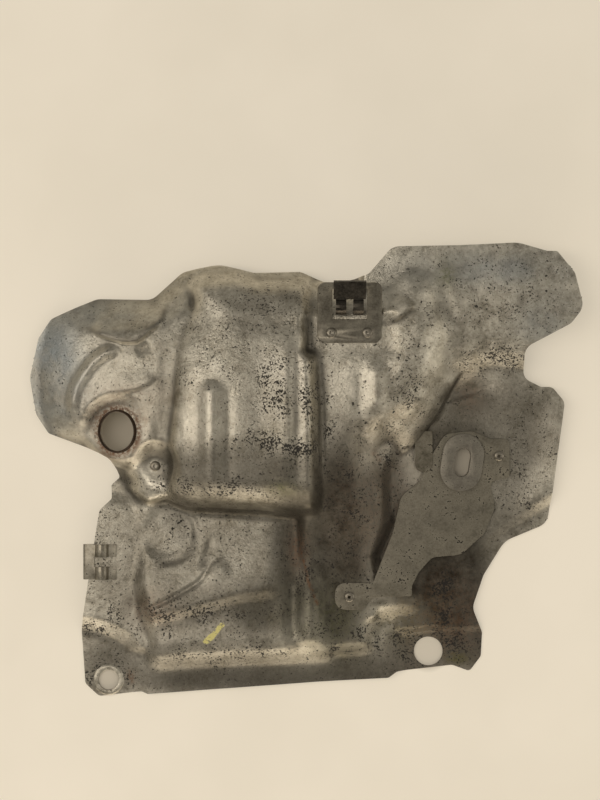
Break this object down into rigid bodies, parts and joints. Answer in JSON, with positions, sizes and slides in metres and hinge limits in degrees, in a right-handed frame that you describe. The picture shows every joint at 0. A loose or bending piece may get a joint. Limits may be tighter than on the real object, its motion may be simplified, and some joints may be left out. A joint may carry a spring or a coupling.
{
  "type": "exhaust heat shield",
  "caption": "Pressed metal heat shield for an exhaust manifold, with barrel-shaped forms, a sensor hole, fixing holes, a riveted bracket, an edge clip and a stay with a slotted collar.",
  "frame": {"origin": "centre of the shield's outline, in the plane of its fixing faces, on which it lies face up", "axes": "+X to the shield's right and along its longest extent, +Y to its top as fitted, +Z out of its front face"},
  "size_m": [0.4375, 0.3613, 0.0607],
  "materials": {
    "shield": "satin",
    "bracket": "satin",
    "spring_steel": "satin",
    "stay": "matt",
    "collar": "satin",
    "rivet": "satin"
  },
  "bodies": {
    "root": {"shield_panel": "shield", "top_bracket": "bracket", "spring_clip": "spring_steel", "bracket_rivet_left": "rivet", "bracket_rivet_right": "rivet", "edge_clip": "spring_steel", "stay_plate": "stay", "stay_rivet_upper": "rivet", "stay_rivet_lower": "rivet", "slot_collar": "collar", "slot_washer": "collar", "ear_rivet": "rivet"}
  },
  "joints": []
}
